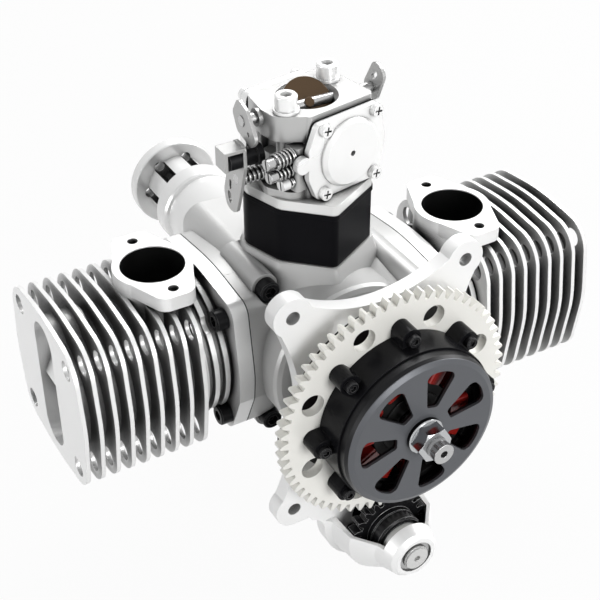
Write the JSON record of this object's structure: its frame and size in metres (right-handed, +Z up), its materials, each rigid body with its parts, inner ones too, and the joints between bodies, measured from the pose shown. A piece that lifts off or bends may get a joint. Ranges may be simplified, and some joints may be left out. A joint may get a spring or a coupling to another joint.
{
  "type": "flat aircraft engine",
  "caption": "Flat twin two-stroke aircraft engine with pumper carburettor, flywheel generator, electric starter pinion and a long propeller hub.",
  "frame": {"origin": "middle of the four mount holes, on the rear face of the mount plate", "axes": "+Z up on the carburettor side, +Y forward along the crankshaft to the propeller, +X towards the right cylinder"},
  "size_m": [0.2588, 0.2895, 0.2326],
  "materials": {
    "cylinder_cast": "satin machined",
    "case_cast": "bead blasted",
    "plate_cast": "bright satin",
    "hub_alloy": "turned satin",
    "zinc": "zinc plated",
    "steel": "ground",
    "black_screw": "black oxide",
    "chrome_nut": "bright plated",
    "ivory_gear": "ivory hard anodised",
    "black_ring": "gloss black",
    "dark_bell": "dark anodised",
    "red_wire": "enamelled wire",
    "black_plastic": "moulded gloss",
    "white_alloy": "bright satin",
    "carb_cast": "die cast",
    "gasket_black": "fibre gasket",
    "rubber_black": "lip seal",
    "brass": "turned",
    "brown_plate": "dull passivated",
    "iron_core": "stamped stack"
  },
  "bodies": {
    "engine_block": {"base_bolts": "black_screw", "base_gaskets": "gasket_black", "carb_adaptor": "white_alloy", "carb_body": "carb_cast", "carb_bolts": "zinc", "carb_cover_screws": "zinc", "carb_gaskets": "gasket_black", "crank_seals": "rubber_black", "crankcase_bolts": "black_screw", "crankcase_front": "case_cast", "crankcase_rear": "case_cast", "cylinder_left": "cylinder_cast", "cylinder_right": "cylinder_cast", "insulator": "black_plastic", "insulator_gasket": "gasket_black", "main_bearings": "steel", "metering_cover": "zinc", "mount_plate": "plate_cast", "mount_plate_screws": "black_screw", "needle_springs": "steel", "pump_cover": "zinc", "reed_valve": "black_plastic", "starter_bush": "brass", "starter_motor": "black_ring", "stator_carrier": "plate_cast", "stator_coils": "red_wire", "stator_core": "iron_core", "throttle_spring": "steel"},
    "crank_assembly": {"crankshaft_rear": "steel", "crankshaft_front": "steel", "crankshaft_centre_web": "steel", "prop_hub": "hub_alloy", "prop_cap": "black_plastic", "ring_gear": "ivory_gear", "rotor_ring": "black_ring", "rotor_screws": "black_screw", "rotor_bell": "dark_bell", "rotor_magnets": "iron_core", "crank_nut": "chrome_nut"},
    "piston_left": {"piston_left": "cylinder_cast", "piston_rings_left": "steel", "wrist_pin_left": "steel", "con_rod_left": "steel", "crankpin_left": "steel"},
    "piston_right": {"piston_right": "cylinder_cast", "piston_rings_right": "steel", "wrist_pin_right": "steel", "con_rod_right": "steel", "crankpin_right": "steel"},
    "starter_pinion": {"starter_pinion": "steel"},
    "throttle": {"throttle_shaft": "steel", "throttle_plate": "brass", "throttle_arm": "zinc", "cable_swivel": "black_screw"},
    "choke": {"choke_shaft": "steel", "choke_plate": "brown_plate", "choke_levers": "zinc"},
    "high_needle": {"high_needle": "brass"},
    "low_needle": {"low_needle": "brass"},
    "idle_screw": {"idle_screw": "zinc"}
  },
  "joints": [
    {"name": "crank_spin", "type": "hinge", "parent": "engine_block", "child": "crank_assembly", "pos_m": [0, 0, 0], "axis": [0, 1, 0], "continuous": true},
    {"name": "starter_pinion_spin", "type": "hinge", "parent": "engine_block", "child": "starter_pinion", "pos_m": [0, 0, -0.0765], "axis": [0, 1, 0], "continuous": true},
    {"name": "piston_right_slide", "type": "slide", "parent": "engine_block", "child": "piston_right", "axis": [-1, 0, 0], "range_m": [0, 0.04]},
    {"name": "piston_left_slide", "type": "slide", "parent": "engine_block", "child": "piston_left", "axis": [1, 0, 0], "range_m": [0, 0.04]},
    {"name": "throttle_turn", "type": "hinge", "parent": "engine_block", "child": "throttle", "pos_m": [0, 0.0645, 0.088], "axis": [-1, 0, 0], "range_deg": [0, 75], "stiffness_Nm_per_rad": 0.02, "springref_deg": -11.46},
    {"name": "choke_turn", "type": "hinge", "parent": "engine_block", "child": "choke", "pos_m": [0, 0.0645, 0.1155], "axis": [1, 0, 0], "range_deg": [-50, 6]},
    {"name": "high_needle_turn", "type": "hinge", "parent": "engine_block", "child": "high_needle", "pos_m": [-0.02117, 0.04635, 0.1032], "axis": [0.9848, 0.1736, 0], "range_deg": [-90, 540]},
    {"name": "low_needle_turn", "type": "hinge", "parent": "engine_block", "child": "low_needle", "pos_m": [-0.02117, 0.04635, 0.0962], "axis": [0.9848, 0.1736, 0], "range_deg": [-90, 540]},
    {"name": "idle_screw_turn", "type": "hinge", "parent": "engine_block", "child": "idle_screw", "pos_m": [-0.02117, 0.04635, 0.09], "axis": [0.9848, 0.1736, 0], "range_deg": [-360, 360]}
  ],
  "couplings": [
    {"joint": "starter_pinion_spin", "follows": "crank_spin", "ratio": -3.0476},
    {"joint": "piston_left_slide", "follows": "piston_right_slide", "ratio": 1}
  ]
}
